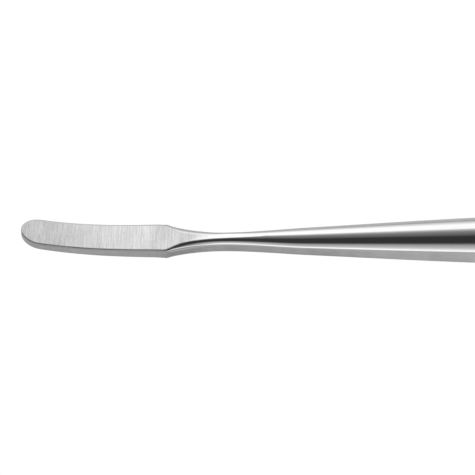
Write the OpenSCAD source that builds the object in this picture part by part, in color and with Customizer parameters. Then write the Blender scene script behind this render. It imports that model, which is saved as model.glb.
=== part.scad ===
// Sculpting spatula: a forged blade and neck, cemented and pinned into a hollow handle of two welded half shells.
// The tool lies along X with its blade at -X, its flat faces up and down, and the handle's belly on the plane z = 0.
// Lengths along the tool are counted from the blade's tip.

/* [Overall] */
// Length of the whole tool, from the blade's tip to the end of the handle
tool_length = 200; // [185:1:230]

/* [Blade] */
// Length of the blade, from its tip to the shoulder
blade_length = 30.5; // [25:0.5:37]
// Width of the blade just behind its rounded tip
blade_w = 7.65; // [6:0.05:9]
// Width of the blade at its heel, where the shoulder starts
heel_w = 8.3; // [6.6:0.05:9.6]
// Thickness of the blade at its tip
tip_t = 1.52; // [1.2:0.02:2]
// Thickness of the blade at its heel
heel_t = 2.2; // [1.9:0.02:2.6]
// Length of the rounded tip, seen from above
tip_round = 4; // [3:0.1:5]
// Height that the tip is bent up by
tip_rise = 3.1; // [0:0.05:3.1]
// Length of the bent stretch, from the tip
bend_length = 30; // [20:0.5:30]
// Height that the whole blade is set above the neck
blade_offset = 0.44; // [0:0.02:0.5]
// Width of the broken edge round the blade's flat faces
edge_break = 0.15; // [0.1:0.01:0.25]

/* [Neck] */
// Distance from the shoulder to the narrowest place of the neck
neck_run = 12; // [9:0.5:15]
// Width of the neck at its narrowest place
neck_w = 3.86; // [3.4:0.02:4.6]
// Thickness of the neck at its narrowest place
neck_t = 3.6; // [3.2:0.02:4]
// Height of the ground flat on the neck's sides
neck_flat = 1.74; // [1.3:0.02:2]
// Thickness over the crown at the shoulder, before the blade's faces are ground
crown_t = 4.4; // [4:0.05:4.8]
// Thickness over the ground faces where the shoulder ends
ramp_t = 3.18; // [2.9:0.02:3.3]
// Thickness over the ground faces at the narrowest place of the neck
ground_t = 3.43; // [3.3:0.01:3.5]
// Distance from the narrowest place to where the ground faces run out of the crown
runout = 8.5; // [6:0.5:12]

/* [Flare] */
// Distance from the narrowest place of the neck to the place where the flare is measured
flare_run = 17.5; // [13:0.5:21]
// Width of the flare there
flare_w = 6.46; // [5.4:0.02:7.8]
// Thickness of the flare there
flare_t = 4.58; // [4:0.02:5.6]
// Height of the side flat there
flare_flat = 1.88; // [1.6:0.02:2.3]

/* [Handle] */
// Distance from the tip to the handle's parallel stretch
grip_start = 120; // [112:1:128]
// Length of the parallel stretch
grip_length = 30; // [20:1:36]
// Width of the handle across its parallel side flats
grip_w = 12.4; // [10:0.1:14]
// Thickness of the handle
grip_t = 8.4; // [7.2:0.1:9.4]
// Height of the side flats
grip_flat = 2.9; // [2.4:0.1:3.4]
// Width of the handle where the end plug starts
butt_w = 10.4; // [9:0.1:12]
// Thickness of the handle where the end plug starts
butt_t = 7; // [6.2:0.1:8]
// Height of the side flats where the end plug starts
butt_flat = 2.5; // [2:0.1:3]

/* [Construction] */
// Length of the forging that shows, from the tip to the handle shells
forging_length = 102; // [92:1:108]
// Wall of the handle shells
shell_wall = 1; // [0.8:0.05:1.2]
// Gap between a spigot or plate and the shells around it
seat_gap = 0.05; // [0.02:0.01:0.1]
// Length of the forging's spigot inside the shells
spigot_length = 8; // [5:0.5:12]
// Diameter of the tang
tang_d = 4.4; // [3.4:0.1:5]
// Length of the tang behind the spigot
tang_length = 40; // [34:1:46]
// Thickness of the plate that stops the cement
plate_t = 1.5; // [1:0.1:2]
// Diameter of the pin that holds the plate on the tang
pin_d = 1.5; // [1.2:0.1:1.8]
// Length of that pin
pin_length = 8; // [7:0.5:9]
// Length of the tang left behind the pin
tang_end = 2; // [1.5:0.1:3]
// Radial gap round the pin and the tang in their holes
hole_gap = 0.02; // [0.01:0.01:0.05]
// Length of the end plug's dome
plug_dome = 8; // [5:0.5:10]
// Length of the end plug's spigot inside the shells
plug_spigot = 7; // [5:0.5:10]

/* [Hidden] */
$fn = 64;

// Steps in each quarter arc of a section, and along each stretch of the tool
ARC_STEPS = 7;
TIP_STEPS = 12;
BLADE_STEPS = 18;
SHOULDER_STEPS = 22;
NECK_STEPS = 12;
FLARE_STEPS = 20;
SHELL_STEPS = 9;
DOME_STEPS = 12;

// Half width of the small flat that closes the crown and the two rounded ends
CROWN_FLAT = 0.06;
TIP_FLAT = 0.3;
// Exponent of the dome's outline: 2 is an ellipse, and more is blunter
DOME_POWER = 2.4;
DOME_REACH = 0.996;

// How fast the half width, half thickness and half flat grow along the tool, where the curves need a slope
FLARE_RATES = [0.066, 0.04, 0.0105];
SHOULDER_RATE = -0.36;
CROWN_RATE = -0.05;
RAMP_RATES = [0.12, 0.03, 0.015, 0.045];
FLAT_ENTRY_RATE = -0.06;
FLAT_EASE_RUN = 4;
FLAT_EASE_GAIN = 0.03;
OFFSET_RUNS = [3, 1.5];
OFFSET_SHARE = 0.45;
OFFSET_RATE = -0.03;
RAMP_RUN = 3.5;
BEND_POWER = 2.7;

neck_at = blade_length + neck_run;
flare_at = neck_at + flare_run;
runout_at = neck_at + runout;
ramp_at = blade_length - 0.8;
grip_end = grip_start + grip_length;
butt_at = tool_length - plug_dome;
spigot_end = forging_length + spigot_length;
tang_tip = spigot_end + tang_length;
pin_at = tang_tip - tang_end - pin_d / 2;
plate_back = pin_at - pin_d / 2 - hole_gap;
plate_front = plate_back - plate_t;

// A smooth curve between two knots, each [distance, value, slope]
function between(x, p, q) =
  let (run = q[0] - p[0], t = (x - p[0]) / run)
  (2 * t ^ 3 - 3 * t ^ 2 + 1) * p[1] + (t ^ 3 - 2 * t ^ 2 + t) * run * p[2]
  + (3 * t ^ 2 - 2 * t ^ 3) * q[1] + (t ^ 3 - t ^ 2) * run * q[2];

// The same through a list of knots, which holds its end values beyond them
function through(x, knots, i = 0) =
  x <= knots[0][0] ? knots[0][1]
  : i + 1 >= len(knots) ? knots[i][1]
  : x <= knots[i + 1][0] ? between(x, knots[i], knots[i + 1])
  : through(x, knots, i + 1);

HALF_WIDTH = [
  [blade_length, heel_w / 2, SHOULDER_RATE],
  [neck_at, neck_w / 2, 0],
  [flare_at, flare_w / 2, FLARE_RATES[0]],
  [grip_start, grip_w / 2, 0],
  [grip_end, grip_w / 2, 0],
  [butt_at, butt_w / 2, -0.03],
];
CROWN = [
  [ramp_at, crown_t / 2, CROWN_RATE],
  [neck_at, neck_t / 2, 0],
  [flare_at, flare_t / 2, FLARE_RATES[1]],
  [grip_start, grip_t / 2, 0],
  [grip_end, grip_t / 2, 0],
  [butt_at, butt_t / 2, -0.02],
];
HALF_FLAT = [
  [blade_length, heel_t / 2 - edge_break, FLAT_ENTRY_RATE],
  [blade_length + FLAT_EASE_RUN, neck_flat / 2 + FLAT_EASE_GAIN, -0.01],
  [neck_at, neck_flat / 2, 0],
  [flare_at, flare_flat / 2, FLARE_RATES[2]],
  [grip_start, grip_flat / 2, 0],
  [grip_end, grip_flat / 2, 0],
  [butt_at, butt_flat / 2, 0],
];
RAMP_HEIGHT = [
  [ramp_at, heel_t / 2, RAMP_RATES[0]],
  [blade_length + RAMP_RUN, ramp_t / 2, RAMP_RATES[1]],
  [neck_at, ground_t / 2, RAMP_RATES[2]],
  [runout_at, through(runout_at, CROWN), RAMP_RATES[3]],
];
OFFSET = [
  [blade_length - OFFSET_RUNS[0], blade_offset, 0],
  [blade_length + OFFSET_RUNS[1], OFFSET_SHARE * blade_offset, OFFSET_RATE],
  [neck_at, 0, 0],
];

// Half width of the blade: an elliptical tip, then a slow widening to the heel
function blade_half_width(x) =
  let (body = blade_w / 2 + (heel_w - blade_w) / 2 * (x / blade_length) ^ 2,
       u = min(1, x / tip_round))
  max(TIP_FLAT, body * sqrt(max(0, 1 - (1 - u) ^ 2)));

function blade_half_thickness(x) = (tip_t + (heel_t - tip_t) * x / blade_length) / 2;

// Height of the middle of the section above the tool's axis
function lift(x) =
  through(x, OFFSET)
  + (x < min(bend_length, blade_length) ? tip_rise * (1 - x / bend_length) ^ BEND_POWER : 0);

// A section's sizes: [half width, half height of the side flat, half width of the top face, half thickness]
function sizes(x) =
  let (a = x < blade_length ? blade_half_width(x) : through(x, HALF_WIDTH),
       c = blade_half_thickness(x),
       e = min(edge_break, a / 2),
       flat = x < blade_length ? c - e : through(x, HALF_FLAT))
  x < ramp_at ? [a, flat, a - e, c]
  : x < runout_at ? ground(a, flat, through(x, CROWN), through(x, RAMP_HEIGHT))
  : [a, flat, CROWN_FLAT, through(x, CROWN)];

// The sizes of a section whose crown of height h is ground flat at height c
function ground(a, flat, h, c) =
  let (r = (a ^ 2 + (h - flat) ^ 2) / (2 * (h - flat)))
  [a, flat, sqrt(max(CROWN_FLAT ^ 2, r ^ 2 - (c - h + r) ^ 2)), c];

// Height of the centre of the arc that joins the side flat to the top face
function arc_centre(s) = (s[2] ^ 2 + s[3] ^ 2 - s[0] ^ 2 - s[1] ^ 2) / (2 * (s[3] - s[1]));

// The section that lies the same distance inside another all round
function inset(s, by) =
  let (zc = arc_centre(s), r = norm([s[0], s[1] - zc]) - by, a = s[0] - by, c = s[3] - by)
  [a, zc + sqrt(r ^ 2 - a ^ 2), sqrt(r ^ 2 - (c - zc) ^ 2), c];

// The upper outline of a section, from its right side flat over the crown to its left side flat
function upper_outline(s) =
  let (zc = arc_centre(s), r = norm([s[0], s[1] - zc]),
       from = atan2(s[1] - zc, s[0]), to = atan2(s[3] - zc, s[2]),
       right = [for (i = [0 : ARC_STEPS])
                 let (turn = from + (to - from) * i / ARC_STEPS)
                 [r * cos(turn), zc + r * sin(turn)]])
  concat(right, [for (i = [ARC_STEPS : -1 : 0]) [-right[i][0], right[i][1]]]);

function turned(outline) = [for (q = outline) [-q[0], -q[1]]];

// A whole section and a half shell's section, as points of the YZ plane
function whole_section(s) = concat(upper_outline(s), turned(upper_outline(s)));

function half_section(s, wall) =
  let (in = inset(s, wall), inner = upper_outline(in), last = len(inner) - 1)
  concat([[s[0], 0]], upper_outline(s), [[-s[0], 0], [-in[0], 0]],
         [for (i = [last : -1 : 0]) inner[i]], [[in[0], 0]]);

function placed(outline, x, up = 0) = [for (q = outline) [x, q[0], q[1] + up]];

// The faces that close the end of a whole section, and of a half shell's section of n points
function whole_end(n) = [[for (i = [0 : n - 1]) i]];

function half_end(n) = [for (i = [0 : n / 2 - 2]) [i, i + 1, n - 2 - i, n - 1 - i]];

// A closed solid through rings that all have the same number of points
module skin(rings, end) {
  n = len(rings[0]);
  last = len(rings) - 1;
  points = [for (ring = rings) each ring];
  sides = [for (k = [0 : last - 1], i = [0 : n - 1])
             let (j = (i + 1) % n, here = k * n, next = here + n)
             each [[here + i, next + i, next + j], [here + i, next + j, here + j]]];
  back = [for (face = end) [for (i = [len(face) - 1 : -1 : 0]) last * n + face[i]]];
  polyhedron(points, concat(end, sides, back), convexity = 6);
}

// The same through whole sections, and through the sections of a half shell
module whole_skin(rings) {
  skin(rings, whole_end(len(rings[0])));
}

module half_skin(rings) {
  skin(rings, half_end(len(rings[0])));
}

function steps(from, to, n) = [for (i = [0 : n - 1]) from + (to - from) * i / n];

// Places of the rings along the rounded tip, close together where it turns
function tip_steps() =
  let (first = acos(sqrt(1 - (TIP_FLAT / (blade_w / 2)) ^ 2)))
  [for (i = [0 : TIP_STEPS - 1])
     i == 0 ? 0 : tip_round * (1 - cos(first + (90 - first) * i / TIP_STEPS))];

// Puts a piece that is drawn from the tip on the tool's axis into the tool's own frame
module in_tool_frame() {
  translate([-tool_length / 2, 0, grip_t / 2]) children();
}

module along_tool(from, to, d) {
  translate([from, 0, 0]) rotate([0, 90, 0]) cylinder(h = to - from, d = d);
}

// Blade, shoulder, neck and flare in one piece with the spigot and tang
module blade_forging() {
  body = concat(
    tip_steps(),
    steps(tip_round, ramp_at, BLADE_STEPS),
    steps(ramp_at, blade_length, 2),
    steps(blade_length, neck_at, SHOULDER_STEPS),
    steps(neck_at, flare_at, NECK_STEPS),
    steps(flare_at, forging_length, FLARE_STEPS),
    [forging_length]
  );
  spigot = [for (x = [forging_length, spigot_end])
              placed(whole_section(inset(sizes(x), shell_wall + seat_gap)), x)];
  color("silver") in_tool_frame() difference() {
    union() {
      whole_skin(concat([for (x = body) placed(whole_section(sizes(x)), x, lift(x))], spigot));
      along_tool(spigot_end - 1, tang_tip, tang_d);
    }
    translate([pin_at, 0, 0])
      rotate([90, 0, 0])
        cylinder(h = 2 * tang_d, d = pin_d + 2 * hole_gap, center = true);
  }
}

// One half of the hollow handle, open towards the other half
module half_shell() {
  length = concat(steps(forging_length, grip_start, SHELL_STEPS), [grip_start],
                  steps(grip_end, butt_at, SHELL_STEPS), [butt_at]);
  half_skin([for (x = length) placed(half_section(sizes(x), shell_wall), x)]);
}

module upper_handle_shell() {
  color("gainsboro") in_tool_frame() half_shell();
}

module lower_handle_shell() {
  color("lightgray") in_tool_frame() rotate([180, 0, 0]) half_shell();
}

// Resin cement cast round the tang, between the spigot and the stop plate
module handle_cement() {
  length = concat(steps(spigot_end, grip_start, SHELL_STEPS), [grip_start, plate_front]);
  color("tan") in_tool_frame() difference() {
    whole_skin([for (x = length) placed(whole_section(inset(sizes(x), shell_wall + seat_gap)), x)]);
    along_tool(spigot_end - 1, plate_front + 1, tang_d + 2 * hole_gap);
  }
}

// Plate that slides over the tang, fills the shells and keeps the cement in front of it
module cement_stop_plate() {
  section = inset(sizes(grip_start), shell_wall + seat_gap);
  color("darkgray") in_tool_frame() difference() {
    whole_skin([for (x = [plate_front, plate_back]) placed(whole_section(section), x)]);
    along_tool(plate_front - 1, plate_back + 1, tang_d + 2 * hole_gap);
  }
}

// Cross pin that holds the plate on the tang and keys the tang
module tang_pin() {
  color("dimgray") in_tool_frame() translate([pin_at, 0, 0])
    rotate([90, 0, 0]) cylinder(h = pin_length, d = pin_d, center = true);
}

// Domed plug that closes the handle's end
module end_plug() {
  spigot = [for (x = [butt_at - plug_spigot, butt_at])
              placed(whole_section(inset(sizes(x), shell_wall + seat_gap)), x)];
  dome = [for (i = [0 : DOME_STEPS])
            let (u = DOME_REACH * sin(90 * i / DOME_STEPS),
                 share = (1 - u ^ DOME_POWER) ^ (1 / DOME_POWER))
            placed(whole_section(sizes(butt_at) * share), butt_at + plug_dome * u / DOME_REACH)];
  color("silver") in_tool_frame() whole_skin(concat(spigot, dome));
}

blade_forging();
upper_handle_shell();
lower_handle_shell();
handle_cement();
cement_stop_plate();
tang_pin();
end_plug();
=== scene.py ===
"""Looks of the sculpting spatula: ground and polished steel round the exact solids.

The tool lies along X with its blade at -X and the blade's upper face up. Its near side is -Y. Lengths along
the tool are counted from the blade's tip and, like every size of the tool, are in millimetres until they are
placed. Sizes of the studio are in metres.
"""

import math
from collections import namedtuple

import bmesh
import bpy
from mathutils import Matrix, Vector


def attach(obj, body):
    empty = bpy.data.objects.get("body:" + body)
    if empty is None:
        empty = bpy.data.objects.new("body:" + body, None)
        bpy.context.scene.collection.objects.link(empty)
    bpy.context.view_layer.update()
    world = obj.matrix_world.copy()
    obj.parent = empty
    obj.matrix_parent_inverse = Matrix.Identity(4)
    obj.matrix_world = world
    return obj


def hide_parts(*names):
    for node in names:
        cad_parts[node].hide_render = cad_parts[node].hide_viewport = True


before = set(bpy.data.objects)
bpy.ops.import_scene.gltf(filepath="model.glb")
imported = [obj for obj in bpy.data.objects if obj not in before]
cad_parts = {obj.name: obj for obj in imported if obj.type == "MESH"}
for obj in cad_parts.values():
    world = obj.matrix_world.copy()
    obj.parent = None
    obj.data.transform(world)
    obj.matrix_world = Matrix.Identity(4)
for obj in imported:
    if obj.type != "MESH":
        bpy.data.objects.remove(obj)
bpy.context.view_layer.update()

MM = 0.001


# ---------------------------------------------------------------- sizes of the tool

TOOL_LENGTH = 200.0
GRIP_W = 12.4
GRIP_T = 8.4
AXIS_HEIGHT = GRIP_T / 2

# Blade: its end is round and bent up, and the whole of it lies a little above the neck
BLADE_LENGTH = 30.5
BLADE_W = 7.65
HEEL_W = 8.3
TIP_T = 1.52
HEEL_T = 2.2
TIP_ROUND = 4.0
TIP_RISE = 3.1
BEND_LENGTH = 30.0
BEND_POWER = 2.7  # the higher, the closer to the tip the blade bends
BLADE_OFFSET = 0.44
OFFSET_SHARE = 0.45  # share of the offset that is left just behind the blade
EDGE_BREAK = 0.15  # of the side flat, measured down from the ground face
FACE_BREAK = 0.24  # of the ground face, measured in from the side flat
TIP_HALF_WIDTH = 0.25  # the least half width of the round tip, at its first ring
TIP_EDGE = 0.01  # height of the first ring's broken edge

# Where the tool's stretches start, from the ramp at the blade's heel to the butt
RAMP_AT = BLADE_LENGTH - 0.8
NECK_AT = BLADE_LENGTH + 12.0
RUNOUT_AT = NECK_AT + 8.5
FLARE_AT = NECK_AT + 17.5
GRIP_START = 120.0
GRIP_END = 150.0
BUTT_AT = 192.0
NECK_W = 3.86
NECK_T = 3.6

# Handle: two shells over the forging's spigot and tang, closed by a plug with a dome
FORGING_LENGTH = 102.0
SPIGOT_LENGTH = 8.0
SPIGOT_GAP = 0.05
SHELL_WALL = 1.0
TANG_D = 4.4
TANG_LENGTH = 40.0
TANG_END = 2.0  # of the tang, behind the hole for the pin
PIN_D = 1.5
PIN_GAP = 0.02
PIN_AT = FORGING_LENGTH + SPIGOT_LENGTH + TANG_LENGTH - TANG_END - PIN_D / 2
PLUG_SPIGOT = 7.0
PLUG_DOME = TOOL_LENGTH - BUTT_AT
DOME_POWER = 2.4  # at 2 the dome would be an ellipse; it is a little fuller
DOME_REACH = 0.999  # share of the dome at which its last ring closes it

# Edges
CROWN_FLAT = 0.06  # half width of the flat that is left on top of the round crown
CORNER = 0.12  # rounding of the side flat's edges, and of the ground face's on the crown's side
FACE_ROUNDING = 0.2  # rounding of the ground face's edges on the face's own side
SEAM_BREAK = 0.12
SUPPORT = 0.03  # how close behind a rounding the next point lies, to keep the face behind it flat

# The most that a rounding may take of the crown's arc, of the side flat and of the ground face, and the most
# that the point behind it may take of what is left of a face
SHARE_OF_ARC = 0.45
SHARE_OF_FLAT = 0.4
SHARE_OF_FACE = 0.5
SHARE_FOR_SUPPORT = 0.3

# How finely the pieces are drawn. A stretch of rings is given by its start and how many rings it has
ARC_POINTS = 12
TIP_RINGS = 16
DOME_RINGS = 28
FORGING_RINGS = [(TIP_ROUND, 40), (RAMP_AT, 6), (BLADE_LENGTH, 44), (NECK_AT, 24), (FLARE_AT, 40)]
SHELL_RINGS = [(FORGING_LENGTH + SEAM_BREAK + SUPPORT, 12), (GRIP_START, 6), (GRIP_END, 24)]
PIN_SEGMENTS = 32
MERGE_WITHIN = 1e-5  # points closer than this are one point

# Knots of the smooth curves along the tool: distance, value, slope
HALF_WIDTH = [
    (BLADE_LENGTH, HEEL_W / 2, -0.36),
    (NECK_AT, NECK_W / 2, 0.0),
    (FLARE_AT, 3.23, 0.066),
    (GRIP_START, GRIP_W / 2, 0.0),
    (GRIP_END, GRIP_W / 2, 0.0),
    (BUTT_AT, 5.2, -0.03),
]
CROWN_HEIGHT = [
    (RAMP_AT, 2.2, -0.05),
    (NECK_AT, NECK_T / 2, 0.0),
    (FLARE_AT, 2.29, 0.04),
    (GRIP_START, GRIP_T / 2, 0.0),
    (GRIP_END, GRIP_T / 2, 0.0),
    (BUTT_AT, 3.5, -0.02),
]
HALF_FLAT = [
    (BLADE_LENGTH, HEEL_T / 2 - EDGE_BREAK, -0.06),
    (BLADE_LENGTH + 4.0, 0.9, -0.01),
    (NECK_AT, 0.87, 0.0),
    (FLARE_AT, 0.94, 0.0105),
    (GRIP_START, 1.45, 0.0),
    (GRIP_END, 1.45, 0.0),
    (BUTT_AT, 1.25, 0.0),
]
OFFSET = [
    (BLADE_LENGTH - 3.0, BLADE_OFFSET, 0.0),
    (BLADE_LENGTH + 1.5, OFFSET_SHARE * BLADE_OFFSET, -0.03),
    (NECK_AT, 0.0, 0.0),
]
# Rounding of the side flat's edges, which the buffing wheel wears most at the shoulder
SIDE_ROUNDING = [
    (BLADE_LENGTH, CORNER, 0.2),
    (BLADE_LENGTH + 2.0, 0.42, 0.0),
    (BLADE_LENGTH + 4.0, 0.36, -0.06),
    (NECK_AT, CORNER, 0.0),
]
# How much narrower the ground face is on its far side, where the grinding belt rolled over its edge: most at
# the shoulder
FAR_ROLL = [
    (2.0, 0.08, 0.0),
    (BLADE_LENGTH - 3.0, 0.14, 0.02),
    (BLADE_LENGTH, 0.35, 0.25),
    (BLADE_LENGTH + 2.5, 0.95, 0.0),
    (BLADE_LENGTH + 8.0, 0.7, -0.06),
    (NECK_AT + 2.0, 0.0, 0.0),
]


# ---------------------------------------------------------------- shape of the tool

# Half sizes across the tool: its width, the height of its side flat, the width of its ground face, and the
# height of that face
Section = namedtuple("Section", "width flat ground height")


def between(x, start, end):
    """A smooth curve between two knots."""
    run = end[0] - start[0]
    t = (x - start[0]) / run
    return (
        (2 * t**3 - 3 * t**2 + 1) * start[1]
        + (t**3 - 2 * t**2 + t) * run * start[2]
        + (3 * t**2 - 2 * t**3) * end[1]
        + (t**3 - t**2) * run * end[2]
    )


def through(x, knots):
    """The smooth curve through a list of knots, level beyond its ends."""
    if x <= knots[0][0]:
        return knots[0][1]
    for start, end in zip(knots, knots[1:]):
        if x <= end[0]:
            return between(x, start, end)
    return knots[-1][1]


GROUND_HEIGHT = [
    (RAMP_AT, HEEL_T / 2, 0.12),
    (BLADE_LENGTH + 3.5, 1.59, 0.03),
    (NECK_AT, 1.715, 0.015),
    (RUNOUT_AT, through(RUNOUT_AT, CROWN_HEIGHT), 0.045),
]


def rounded_tip(x, half_width, length):
    """The half width of a strip whose end is rounded over a length."""
    back = max(0.0, TIP_ROUND - x)
    return half_width * math.sqrt(max(0.0, 1 - (back / length) ** 2))


def blade_section(x):
    """The section of the blade."""
    body = BLADE_W / 2 + (HEEL_W - BLADE_W) / 2 * (x / BLADE_LENGTH) ** 2
    half_thickness = (TIP_T + (HEEL_T - TIP_T) * x / BLADE_LENGTH) / 2
    flat = half_thickness - EDGE_BREAK
    return Section(
        max(TIP_HALF_WIDTH, rounded_tip(x, body, TIP_ROUND)),
        flat,
        max(CROWN_FLAT, rounded_tip(x, body - FACE_BREAK, TIP_ROUND - FACE_BREAK)),
        min(half_thickness, flat + TIP_EDGE + x),
    )


def section(x):
    """The section of the tool. Behind the blade the ground face cuts the crown, as a flat cuts a round bar,
    until it runs out."""
    if x < RAMP_AT:
        return blade_section(x)
    if x < BLADE_LENGTH:
        width, flat = blade_section(x)[:2]
    else:
        width, flat = through(x, HALF_WIDTH), through(x, HALF_FLAT)
    crown = through(x, CROWN_HEIGHT)
    if x >= RUNOUT_AT:
        return Section(width, flat, CROWN_FLAT, crown)
    height = through(x, GROUND_HEIGHT)
    radius = (width**2 + (crown - flat) ** 2) / (2 * (crown - flat))
    cut = radius**2 - (height - crown + radius) ** 2
    return Section(width, flat, math.sqrt(max(CROWN_FLAT**2, cut)), height)


def lift(x):
    """How far the blade is raised: it is set a little above the neck, and its end is bent up."""
    bend = TIP_RISE * (1 - x / BEND_LENGTH) ** BEND_POWER if x < BEND_LENGTH else 0.0
    return through(x, OFFSET) + bend


def crown_circle(s):
    """Centre height and radius of the arc from the side flat to the ground face."""
    centre = (s.ground**2 + s.height**2 - s.width**2 - s.flat**2) / (2 * (s.height - s.flat))
    return centre, math.hypot(s.width, s.flat - centre)


def inset(s, by):
    """The section that lies the same distance inside another."""
    centre, radius = crown_circle(s)
    radius, width, height = radius - by, s.width - by, s.height - by
    flat = centre + math.sqrt(radius**2 - width**2)
    ground = math.sqrt(radius**2 - (height - centre) ** 2)
    return Section(width, flat, ground, height)


# The strips along the tool that lie between a section's points. The first five are finishes. EDGE and RIM
# are the edges of the side flat and of the ground face, whose finish changes along the tool.
SIDE, BREAK, CROWNED, GROUND, INSIDE, EDGE, RIM = range(7)
QUARTER_STRIPS = [SIDE, SIDE, EDGE, EDGE] + [CROWNED] * ARC_POINTS + [RIM, RIM, GROUND, GROUND]
UPPER_STRIPS = QUARTER_STRIPS + QUARTER_STRIPS[::-1]
WHOLE_STRIPS = UPPER_STRIPS * 2
SHELL_STRIPS = [BREAK, SIDE] + UPPER_STRIPS + [SIDE, BREAK] + [INSIDE] * (len(UPPER_STRIPS) + 2)


def quarter(s, corner=CORNER):
    """A section from the middle of its far side flat to the middle of its ground face. The edges of
    both faces are slightly rounded, and a point close behind each rounding keeps the face itself flat."""
    centre, radius = crown_circle(s)
    start = math.atan2(s.flat - centre, s.width)
    end = math.atan2(s.height - centre, s.ground)
    room = SHARE_OF_ARC * radius * (end - start)
    low, high = min(corner, SHARE_OF_FLAT * s.flat, room), min(CORNER, room)
    inward = min(FACE_ROUNDING, SHARE_OF_FACE * s.ground)

    def on_arc(angle):
        return Vector((radius * math.cos(angle), centre + radius * math.sin(angle)))

    def rounding(before, edge, after):
        return before / 4 + edge / 2 + after / 4

    def support(left):
        return min(SUPPORT, SHARE_FOR_SUPPORT * left)

    first, last = start + low / radius, end - high / radius
    arc = [on_arc(first + (last - first) * i / ARC_POINTS) for i in range(ARC_POINTS + 1)]
    below, inner = Vector((s.width, s.flat - low)), Vector((s.ground - inward, s.height))
    return (
        [Vector((s.width, 0)), below - Vector((0, support(below.y))), below]
        + [rounding(below, Vector((s.width, s.flat)), arc[0])]
        + arc
        + [rounding(arc[-1], Vector((s.ground, s.height)), inner)]
        + [inner, inner - Vector((support(inner.x), 0)), Vector((0, s.height))]
    )


def upper_half(s, corner=CORNER, roll=0.0):
    """The upper half of a section, from its far side flat over the crown to its near one."""
    far = quarter(s._replace(ground=max(CROWN_FLAT, s.ground - roll)), corner)
    return far + [Vector((-p.x, p.y)) for p in quarter(s, corner)[-2::-1]]


def whole(s, corner=CORNER, roll=0.0):
    """A whole section, closed on its first point. Its lower half is its upper half turned over."""
    upper = upper_half(s, corner, roll)
    return upper + [-p for p in upper[1:]]


def spigot(x):
    """The outline of what fits inside the shells."""
    return whole(inset(section(x), SHELL_WALL + SPIGOT_GAP))


def shell_half(s, broken=0.0):
    """One half shell's section, closed on its first point. The edges that meet the other half are
    slightly broken, which leaves the seam's fine line."""
    outer = upper_half(inset(s, broken) if broken else s)
    inner = upper_half(inset(s, SHELL_WALL))
    width = outer[0].x
    outer[0].y = outer[-1].y = SEAM_BREAK
    right, left = (Vector((side * (width - SEAM_BREAK), 0)) for side in (1, -1))
    held_right, held_left = (Vector((side * width, SEAM_BREAK + SUPPORT)) for side in (1, -1))
    outer = [outer[0], held_right] + outer[1:-1] + [held_left, outer[-1]]
    return [right] + outer + [left] + inner[::-1] + [right]


# ---------------------------------------------------------------- making the pieces

def rings(stretches, end):
    """Distances of the rings through stretches, each given as its start and how many rings it has."""
    stops = [start for start, _ in stretches[1:]] + [end]
    return [
        start + (stop - start) * i / count
        for (start, count), stop in zip(stretches, stops)
        for i in range(count)
    ] + [end]


def place(x, point, up=0.0):
    """A point of a section, at a distance along the tool, in the tool's own place."""
    return Vector((x - TOOL_LENGTH / 2, point.x, point.y + up + AXIS_HEIGHT)) * MM


def finish_at(x, strip):
    """A strip's finish at a distance along the tool. On the blade the strip between the side and the face
    is only a broken edge, and where the ground face has run out there is nothing but crown."""
    if x < BLADE_LENGTH:
        return BREAK if strip in (CROWNED, EDGE, RIM) else strip
    if strip in (RIM, GROUND):
        return GROUND if x < RUNOUT_AT else CROWNED
    return CROWNED if strip == EDGE else strip


def sleeve(stations, strips):
    """A closed body through outlines along the tool, each given as distance, outline and lift. A flat
    sheet is rolled round the outlines, joined along its edge and closed at both ends."""
    rows, columns = len(stations) - 1, len(strips)
    bm = bmesh.new()
    bmesh.ops.create_grid(bm, x_segments=rows, y_segments=columns, size=1.0)
    for face in bm.faces:
        middle = face.calc_center_median()
        row, column = (int((c + 1) / 2 * n) for c, n in ((middle.x, rows), (middle.y, columns)))
        face.material_index = finish_at(stations[row][0], strips[column])
        face.smooth = True
    for vertex in bm.verts:
        row, column = (round((c + 1) / 2 * n) for c, n in ((vertex.co.x, rows), (vertex.co.y, columns)))
        x, outline, up = stations[row]
        vertex.co = place(x, outline[column], up)
    bmesh.ops.remove_doubles(bm, verts=bm.verts, dist=MERGE_WITHIN * MM)
    rims = [edge for edge in bm.edges if edge.is_boundary]
    for face in bmesh.ops.holes_fill(bm, edges=rims, sides=0)["faces"]:
        face.material_index = INSIDE
    bmesh.ops.recalc_face_normals(bm, faces=bm.faces)
    return bm


def object_from(bm, name, *finishes):
    """A body made an object, with its finishes."""
    mesh = bpy.data.meshes.new(name)
    bm.to_mesh(mesh)
    bm.free()
    for finish in finishes:
        mesh.materials.append(finish)
    made = bpy.data.objects.new(name, mesh)
    bpy.context.scene.collection.objects.link(made)
    return made


def forging():
    """Blade, shoulder, neck and flare in one, with the spigot and tang that the handle hides."""
    distances = [TIP_ROUND * (1 - math.cos(math.radians(90 * i / TIP_RINGS))) for i in range(TIP_RINGS)]
    distances += rings(FORGING_RINGS, FORGING_LENGTH - SEAM_BREAK - SUPPORT)
    distances += [FORGING_LENGTH - SEAM_BREAK]
    stations = [
        (x, whole(section(x), through(x, SIDE_ROUNDING), through(x, FAR_ROLL)), lift(x)) for x in distances
    ]
    spigot_end = FORGING_LENGTH + SPIGOT_LENGTH
    tang = [p.normalized() * TANG_D / 2 for p in spigot(spigot_end)]
    stations += [
        (FORGING_LENGTH, whole(inset(section(FORGING_LENGTH), SEAM_BREAK)), 0.0),
        (FORGING_LENGTH, spigot(FORGING_LENGTH), 0.0),
        (spigot_end, spigot(spigot_end), 0.0),
        (spigot_end, tang, 0.0),
        (spigot_end + TANG_LENGTH, tang, 0.0),
    ]
    return sleeve(stations, WHOLE_STRIPS)


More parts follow.
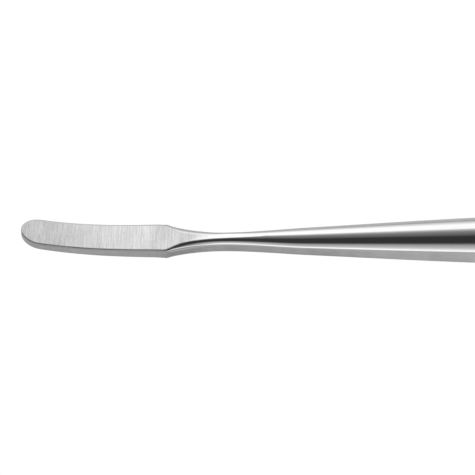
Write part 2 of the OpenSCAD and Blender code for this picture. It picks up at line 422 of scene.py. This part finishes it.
def drill_for_pin(piece):
    """Drills the hole for the pin through the tang."""
    bm = bmesh.new()
    radius = (PIN_D / 2 + PIN_GAP) * MM
    middle = Matrix.Translation(place(PIN_AT, Vector((0, 0))))
    bmesh.ops.create_cone(
        bm, cap_ends=True, segments=PIN_SEGMENTS, radius1=radius, radius2=radius, depth=2 * TANG_D * MM,
        matrix=middle @ Matrix.Rotation(math.radians(90), 4, "X"),
    )
    drill = object_from(bm, "drill")
    hole = piece.modifiers.new("pin_hole", "BOOLEAN")
    hole.object = drill
    hole.solver = "EXACT"
    undrilled, cutter = piece.data, drill.data
    drilled = piece.evaluated_get(bpy.context.evaluated_depsgraph_get())
    piece.data = bpy.data.meshes.new_from_object(drilled)
    piece.modifiers.clear()
    bpy.data.objects.remove(drill)
    for mesh in (cutter, undrilled):
        bpy.data.meshes.remove(mesh)


def handle_shell(turned_over):
    """One half of the hollow handle."""
    front, back = FORGING_LENGTH + SEAM_BREAK, BUTT_AT - SEAM_BREAK
    distances = [front] + rings(SHELL_RINGS, back - SUPPORT) + [back]
    first, last = ((x, shell_half(section(x), SEAM_BREAK), 0.0) for x in (FORGING_LENGTH, BUTT_AT))
    stations = [first] + [(x, shell_half(section(x)), 0.0) for x in distances] + [last]
    bm = sleeve(stations, SHELL_STRIPS)
    if turned_over:
        pivot = Vector((0, 0, AXIS_HEIGHT)) * MM
        bmesh.ops.rotate(bm, verts=bm.verts, cent=pivot, matrix=Matrix.Rotation(math.pi, 3, "X"))
    return bm


def plug():
    """The plug that closes the handle: a spigot inside the shells and a dome behind them."""
    end = section(BUTT_AT)
    stations = [(x, spigot(x), 0.0) for x in (BUTT_AT - PLUG_SPIGOT, BUTT_AT)]
    stations += [
        (BUTT_AT, whole(inset(end, SEAM_BREAK)), 0.0),
        (BUTT_AT + SEAM_BREAK, whole(end), 0.0),
        (BUTT_AT + SEAM_BREAK + SUPPORT, whole(end), 0.0),
    ]
    for i in range(1, DOME_RINGS + 1):
        reach = DOME_REACH * math.sin(math.radians(90 * i / DOME_RINGS))
        share = (1 - reach**DOME_POWER) ** (1 / DOME_POWER)
        stations.append((BUTT_AT + PLUG_DOME * reach / DOME_REACH, [p * share for p in whole(end)], 0.0))
    return sleeve(stations, WHOLE_STRIPS)


# ---------------------------------------------------------------- finishes

def colour(code):
    """An sRGB hex value as a linear colour."""
    values = [int(code[i : i + 2], 16) / 255 for i in (1, 3, 5)]
    return [v / 12.92 if v <= 0.04045 else ((v + 0.055) / 1.055) ** 2.4 for v in values] + [1.0]


def add(tree, kind, settings=None, **inputs):
    """Adds a node with its settings, and its inputs by name or, after a line, by number: each is a value
    or the output that feeds it."""
    node = tree.nodes.new(kind)
    for name, value in (settings or {}).items():
        setattr(node, name, value)
    for name, value in inputs.items():
        socket = node.inputs[int(name[1:])] if name[0] == "_" else node.inputs[name.replace("_", " ")]
        if isinstance(value, bpy.types.NodeSocket):
            tree.links.new(value, socket)
        else:
            socket.default_value = value
    return node


def new_material(name):
    """A material whose nodes are still to be added."""
    material = bpy.data.materials.new(name)
    material.use_nodes = True
    material.node_tree.nodes.clear()
    return material


MULTIPLY = {"operation": "MULTIPLY"}
MAXIMUM = {"operation": "MAXIMUM"}

# The range that nearly all values of a noise lie in: of the lively one that draws scratches, and of the
# soft one that draws clouds
SCRATCH_LOW, SCRATCH_HIGH = 0.25, 0.75
CLOUD_LOW, CLOUD_HIGH = 0.3, 0.7
CLOUDS_PER_MM = 0.25

# The short scratches among the long ones: their share, how much shorter they are and how much finer
SHORT_SHARE = 0.42
SHORTER = 8.0
FINER = 1.6

ROUGHNESS_SWING = 0.15  # how much scratches change the roughness
BUFFED_ROUGHNESS = 0.09
BUFFED_TONE_AND_LIGHT = 1.26  # how much lighter than its satin the buffed end of a finish is: partly the buffed steel's own grey, partly painted light that makes up for the painted shade before it
FADE_SLANT = 1.1  # how much further back the buffing starts for each millimetre towards the far side


def steel(name, base, roughness, lines, depth, shade, mottle=0.0, fade=None, painted_shading=()):
    """A steel finish. lines is how many scratches there are in a millimetre along X, Y and Z, depth is how
    deep they are in millimetres, and shade is how far they lighten and darken the steel. mottle is how far
    soft clouds do so. fade is where, counted from the tip in millimetres, the finish starts to be buffed
    away and where nothing of it is left. The last argument lists painted light and shade along the tool,
    each as where it starts and ends and the painted factor on the steel's grey before and after it."""
    material = new_material(name)
    tree = material.node_tree
    spot = add(tree, "ShaderNodeTexCoord").outputs["Object"]
    spot_parts = add(tree, "ShaderNodeSeparateXYZ", Vector=spot).outputs
    along = spot_parts["X"]
    slanted = add(
        tree, "ShaderNodeMath", {"operation": "MULTIPLY_ADD"}, _0=spot_parts["Y"], _1=-FADE_SLANT, _2=along,
    ).outputs["Value"]

    def change(start, end, before, after, where=along):
        """A value that changes smoothly along the tool."""
        return add(
            tree, "ShaderNodeMapRange", {"interpolation_type": "SMOOTHSTEP"}, Value=where,
            _1=(start - TOOL_LENGTH / 2) * MM, _2=(end - TOOL_LENGTH / 2) * MM, _3=before, _4=after,
        ).outputs["Result"]

    def scratched(counts):
        """Scratches, so many in a millimetre along X, Y and Z."""
        stretch = add(tree, "ShaderNodeMapping", Vector=spot, Scale=[count / MM for count in counts])
        return add(
            tree, "ShaderNodeTexNoise", Vector=stretch.outputs["Vector"],
            Scale=1.0, Detail=4.0, Roughness=0.7,
        ).outputs["Fac"]

    # How much of the finish the buffing has left, and the steel's grey: partly the buffed end's own lighter
    # grey, partly painted light and shade along the tool
    left, level = 1.0, 1.0
    if fade:
        left = change(*fade, 1.0, 0.0, slanted)
        level = change(*fade, 1.0, BUFFED_TONE_AND_LIGHT, slanted)
    # Painted light and shade along the tool: each change is multiplied into the steel's grey
    for painted_change in painted_shading:
        level = add(tree, "ShaderNodeMath", MULTIPLY, _0=level, _1=change(*painted_change)).outputs["Value"]

    short = [min(SHORTER * count, FINER * max(lines)) for count in lines]
    scratches = add(
        tree, "ShaderNodeMix", {"data_type": "FLOAT"},
        _0=SHORT_SHARE, _2=scratched(lines), _3=scratched(short),
    ).outputs[0]
    clouds = add(
        tree, "ShaderNodeTexNoise", Vector=spot, Scale=CLOUDS_PER_MM / MM, Detail=2.0, Roughness=0.5,
    )

    shading = add(
        tree, "ShaderNodeMapRange", Value=scratches,
        _1=SCRATCH_LOW, _2=SCRATCH_HIGH, _3=1 - shade, _4=1 + shade,
    )
    shading = add(
        tree, "ShaderNodeMapRange", Value=left, _1=0.0, _2=1.0, _3=1.0, _4=shading.outputs["Result"],
    )
    mottling = add(
        tree, "ShaderNodeMapRange", Value=clouds.outputs["Fac"],
        _1=CLOUD_LOW, _2=CLOUD_HIGH, _3=1 - mottle, _4=1 + mottle,
    )
    tint = add(
        tree, "ShaderNodeMath", MULTIPLY, _0=shading.outputs["Result"], _1=mottling.outputs["Result"],
    )
    tint = add(tree, "ShaderNodeMath", MULTIPLY, _0=tint.outputs["Value"], _1=level)
    tint = add(
        tree, "ShaderNodeVectorMath", {"operation": "SCALE"},
        _0=colour(base)[:3], Scale=tint.outputs["Value"],
    )
    rough = add(
        tree, "ShaderNodeMapRange", Value=scratches, _1=SCRATCH_LOW, _2=SCRATCH_HIGH,
        _3=roughness * (1 - ROUGHNESS_SWING), _4=roughness * (1 + ROUGHNESS_SWING),
    )
    rough = add(
        tree, "ShaderNodeMapRange", Value=left,
        _1=0.0, _2=1.0, _3=BUFFED_ROUGHNESS, _4=rough.outputs["Result"],
    )
    bump = add(tree, "ShaderNodeBump", Height=scratches, Strength=left, Distance=depth * MM)
    shader = add(
        tree, "ShaderNodeBsdfPrincipled", Base_Color=tint.outputs["Vector"],
        Metallic=1.0, Roughness=rough.outputs["Result"], Normal=bump.outputs["Normal"],
    )
    add(tree, "ShaderNodeOutputMaterial", Surface=shader.outputs["BSDF"])
    return material


def cement(name):
    """Cast resin cement: a dull, faintly mottled tan mass with fine bubbles."""
    material = new_material(name)
    tree = material.node_tree
    spot = add(tree, "ShaderNodeTexCoord").outputs["Object"]
    clouds = add(tree, "ShaderNodeTexNoise", Vector=spot, Scale=0.4 / MM, Detail=4.0, Roughness=0.6)
    bubbles = add(tree, "ShaderNodeTexVoronoi", Vector=spot, Scale=1.2 / MM)
    blend = add(
        tree, "ShaderNodeMix", {"data_type": "RGBA"}, _0=clouds.outputs["Fac"],
        _6=colour("#A38E6C"), _7=colour("#C2AE8B"),
    )
    bump = add(
        tree, "ShaderNodeBump", Height=bubbles.outputs["Distance"], Strength=0.4, Distance=0.05 * MM,
    )
    shader = add(
        tree, "ShaderNodeBsdfPrincipled", Base_Color=blend.outputs[2], Roughness=0.7,
        Normal=bump.outputs["Normal"],
    )
    add(tree, "ShaderNodeOutputMaterial", Surface=shader.outputs["BSDF"])
    return material


# Stainless steel ground across on a belt: a light satin grey with fine lines from edge to edge of the blade,
# with painted shade that darkens it towards the tip and from the heel on. It is buffed away between the
# shoulder and the neck, where its grey turns lighter: partly the buffed steel's own, partly painted light.
# The grit leaves lines 0.05 mm apart, drawn 0.14 to 0.22 mm apart so that they show.
cross_ground = steel(
    "stainless_steel_ground_across", "#CCCCCC", 0.36, (4.5, 0.13, 0.3), 0.010, 0.5, 0.05,
    fade=(35.0, 41.0), painted_shading=[(2.0, 22.0, 0.80, 1.0), (26.0, 34.0, 1.0, 0.87)],
)
# The same steel brushed along the tool: an even satin on the side flats, with painted shade that darkens it
# towards the tip and most at the shoulder, and painted light that lightens it towards the handle. Lines
# 0.05 mm apart, drawn 0.13 to 0.33 mm apart.
long_brushed = steel(
    "stainless_steel_brushed_along", "#D3D3D3", 0.34, (0.12, 3.0, 5.0), 0.003, 0.09, 0.06,
    painted_shading=[
        (0.0, 12.0, 0.84, 1.0),
        (28.0, 32.0, 1.02, 0.80),
        (33.0, 41.0, 1.0, 1.25),
        (62.0, 80.0, 1.0, 1.25),
    ],
)
# Buffed on a felt wheel: a bright mirror with a faint haze, crisp light and dark bands.
buffed = steel(
    "stainless_steel_buffed", "#D4D4D4", BUFFED_ROUGHNESS, (0.04, 1.5, 1.5), 0.0004, 0.01, 0.01,
)
# Edges broken by hand with fine paper: a satin whose grey is painted darker than the faces beside them, as
# painted shade along the edges.
edge_painted_dark = steel("stainless_steel_edge_painted_dark", "#B2B2B2", 0.34, (0.3, 2.0, 2.0), 0.001, 0.03)
# Pressed or forged and left as it was inside the handle: dull grey.
as_pressed = steel("stainless_steel_as_pressed", "#A8A8A6", 0.45, (0.8, 0.8, 0.8), 0.01, 0.08, 0.05)
# Blanked from sheet with a rolled surface.
rolled_sheet = steel("stainless_steel_rolled_sheet", "#B4B4B2", 0.38, (2.0, 0.2, 3.0), 0.003, 0.05, 0.03)
# Bright drawn wire, with its drawing lines along the pin.
drawn_wire = steel("stainless_steel_drawn_wire", "#B0B0B0", 0.28, (3.0, 0.1, 3.0), 0.002, 0.04)
# Cast and left in the handle, where nobody sees it.
resin_cement = cement("resin_cement_cast")

# In the order of the strips SIDE, BREAK, CROWNED, GROUND and INSIDE
FINISHES = [long_brushed, edge_painted_dark, buffed, cross_ground, as_pressed]


# ---------------------------------------------------------------- the tool

def finished(bm, name, slot, *nodes):
    """The piece made from a body: it has its finishes and takes the place of the exact solid."""
    piece = object_from(bm, name, *FINISHES)
    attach(piece, "root")
    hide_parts(*nodes)
    return piece


drill_for_pin(finished(forging(), "blade_and_neck", "forged_steel", "blade_forging"))
finished(handle_shell(False), "upper_shell", "shell_steel", "upper_handle_shell")
finished(handle_shell(True), "lower_shell", "shell_steel", "lower_handle_shell")
finished(plug(), "domed_plug", "forged_steel", "end_plug")

for node, finish in (
    ("handle_cement", resin_cement),
    ("cement_stop_plate", rolled_sheet),
    ("tang_pin", drawn_wire),
):
    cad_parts[node].data.materials.clear()
    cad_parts[node].data.materials.append(finish)


# ---------------------------------------------------------------- studio

FLOOR_HALF = 1.5  # half the length of its side

# How much of the floor's plain white the camera and the metal see; the rest is the lit paper with its
# shadow. That paper is darker, so the white is a little over 1, which makes the two together white.
WHITE_TO_CAMERA = 0.9
WHITE_TO_METAL = 0.1
WHITE_STRENGTH = 1.08

TENT_RADIUS = 0.6
TENT_LENGTH = 2.4
TENT_SEGMENTS = 128
# How the tent's light falls off towards the handle's side: place along X and share of the light
TENT_FALL = [(-0.2, 1.1), (0.4, 0.8)]
# Light round the tent by angle, from the floor in front of the tool (0) over the top (90) to the floor
# behind it (180): a bright panel in front, a dark top and a bright panel behind
TENT_LIGHT = [
    (0, 0.50), (35, 0.50), (44, 1.50), (50, 1.42), (53, 1.12), (57, 0.80), (60, 0.67), (66, 0.51),
    (69, 0.44), (72, 0.21), (75, 0.075), (78, 0.045), (98, 0.045), (103, 0.11), (107, 0.18), (114, 0.25),
    (118, 0.32), (122, 0.45), (127, 0.75), (131, 1.50), (152, 1.50), (157, 1.22), (162, 1.02), (167, 0.90),
    (171, 0.66), (180, 0.42),
]


def floor_paper():
    """White paper: plain white behind the tool, and a pale matt surface for the light that falls on it."""
    material = new_material("white_paper_floor")
    tree = material.node_tree
    path = add(tree, "ShaderNodeLightPath").outputs
    mirrored = add(tree, "ShaderNodeMath", MAXIMUM, _0=path["Is Glossy Ray"], _1=path["Is Transmission Ray"])
    mirrored = add(tree, "ShaderNodeMath", MULTIPLY, _0=mirrored.outputs["Value"], _1=WHITE_TO_METAL)
    seen = add(tree, "ShaderNodeMath", MULTIPLY, _0=path["Is Camera Ray"], _1=WHITE_TO_CAMERA)
    seen = add(tree, "ShaderNodeMath", MAXIMUM, _0=seen.outputs["Value"], _1=mirrored.outputs["Value"])
    glow = add(tree, "ShaderNodeEmission", Color=colour("#FFFFFF"), Strength=WHITE_STRENGTH)
    paper = add(tree, "ShaderNodeBsdfPrincipled", Base_Color=colour("#EEEEEE"), Roughness=0.9)
    mixed = add(
        tree, "ShaderNodeMixShader", Fac=seen.outputs["Value"],
        _1=paper.outputs["BSDF"], _2=glow.outputs["Emission"],
    )
    add(tree, "ShaderNodeOutputMaterial", Surface=mixed.outputs["Shader"])
    return material


def floor():
    """A plain floor under the tool."""
    bm = bmesh.new()
    bmesh.ops.create_grid(bm, x_segments=1, y_segments=1, size=FLOOR_HALF)
    piece = object_from(bm, "floor", floor_paper())


def tent_lining():
    """The light tent's lining, which glows as TENT_LIGHT and TENT_FALL say."""
    material = new_material("light_tent_lining")
    tree = material.node_tree
    spot = add(tree, "ShaderNodeTexCoord").outputs["Object"]
    parts = add(tree, "ShaderNodeSeparateXYZ", Vector=spot).outputs
    away = add(tree, "ShaderNodeMath", MULTIPLY, _0=parts["Y"], _1=-1.0)
    angle = add(tree, "ShaderNodeMath", {"operation": "ARCTAN2"}, _0=parts["Z"], _1=away.outputs["Value"])
    share = add(
        tree, "ShaderNodeMapRange", Value=angle.outputs["Value"], _1=0.0, _2=math.pi, _3=0.0, _4=1.0,
    )
    ramp = add(tree, "ShaderNodeValToRGB", Fac=share.outputs["Result"])
    stops = ramp.color_ramp.elements
    brightest = max(value for _, value in TENT_LIGHT)
    while len(stops) < len(TENT_LIGHT):
        stops.new(0.5)
    for stop, (degrees, value) in zip(stops, TENT_LIGHT):
        stop.position = degrees / 180
        stop.color = (value / brightest, value / brightest, value / brightest, 1)
    (near, near_share), (far, far_share) = TENT_FALL
    fall = add(
        tree, "ShaderNodeMapRange", Value=parts["X"], _1=near, _2=far, _3=near_share, _4=far_share,
    )
    level = add(
        tree, "ShaderNodeVectorMath", {"operation": "SCALE"},
        _0=ramp.outputs["Color"], Scale=fall.outputs["Result"],
    )
    glow = add(tree, "ShaderNodeEmission", Color=level.outputs["Vector"], Strength=brightest)
    add(tree, "ShaderNodeOutputMaterial", Surface=glow.outputs["Emission"])
    return material


def light_tent():
    """A round tent over the tool, from the floor in front of it to the floor behind it."""
    bm = bmesh.new()
    bmesh.ops.create_cone(
        bm, cap_ends=False, segments=TENT_SEGMENTS, radius1=TENT_RADIUS, radius2=TENT_RADIUS,
        depth=TENT_LENGTH,
    )
    bmesh.ops.rotate(bm, verts=bm.verts, matrix=Matrix.Rotation(math.radians(90), 3, "Y"))
    everything = bm.verts[:] + bm.edges[:] + bm.faces[:]
    bmesh.ops.bisect_plane(
        bm, geom=everything, plane_co=(0, 0, 0), plane_no=(0, 0, 1), clear_inner=True,
    )
    piece = object_from(bm, "light_tent", tent_lining())
    piece.visible_camera = False


floor()
light_tent()

world = bpy.data.worlds.new("studio")
bpy.context.scene.world = world
world.use_nodes = True
world.node_tree.nodes.clear()
backdrop = add(world.node_tree, "ShaderNodeBackground", Color=colour("#FFFFFF"), Strength=1.0)
add(world.node_tree, "ShaderNodeOutputWorld", Surface=backdrop.outputs["Background"])


# ---------------------------------------------------------------- camera

ELEVATION = 43.0
DISTANCE = 0.4155
LOOK_AT = Vector((-0.05475, 0, 0.00544))
ROLL = 0.42

camera = bpy.data.objects.new("camera", bpy.data.cameras.new("camera"))
camera.data.lens = 150
camera.data.sensor_width = 36
camera.data.clip_start = 0.01
camera.data.clip_end = 10
raised = math.radians(ELEVATION)
camera.location = LOOK_AT + DISTANCE * Vector((0, -math.cos(raised), math.sin(raised)))
tilt = Matrix.Rotation(math.radians(90 - ELEVATION), 4, "X")
camera.rotation_euler = (tilt @ Matrix.Rotation(math.radians(-ROLL), 4, "Z")).to_euler()
bpy.context.scene.collection.objects.link(camera)
bpy.context.scene.camera = camera
bpy.context.scene.view_settings.view_transform = "Standard"
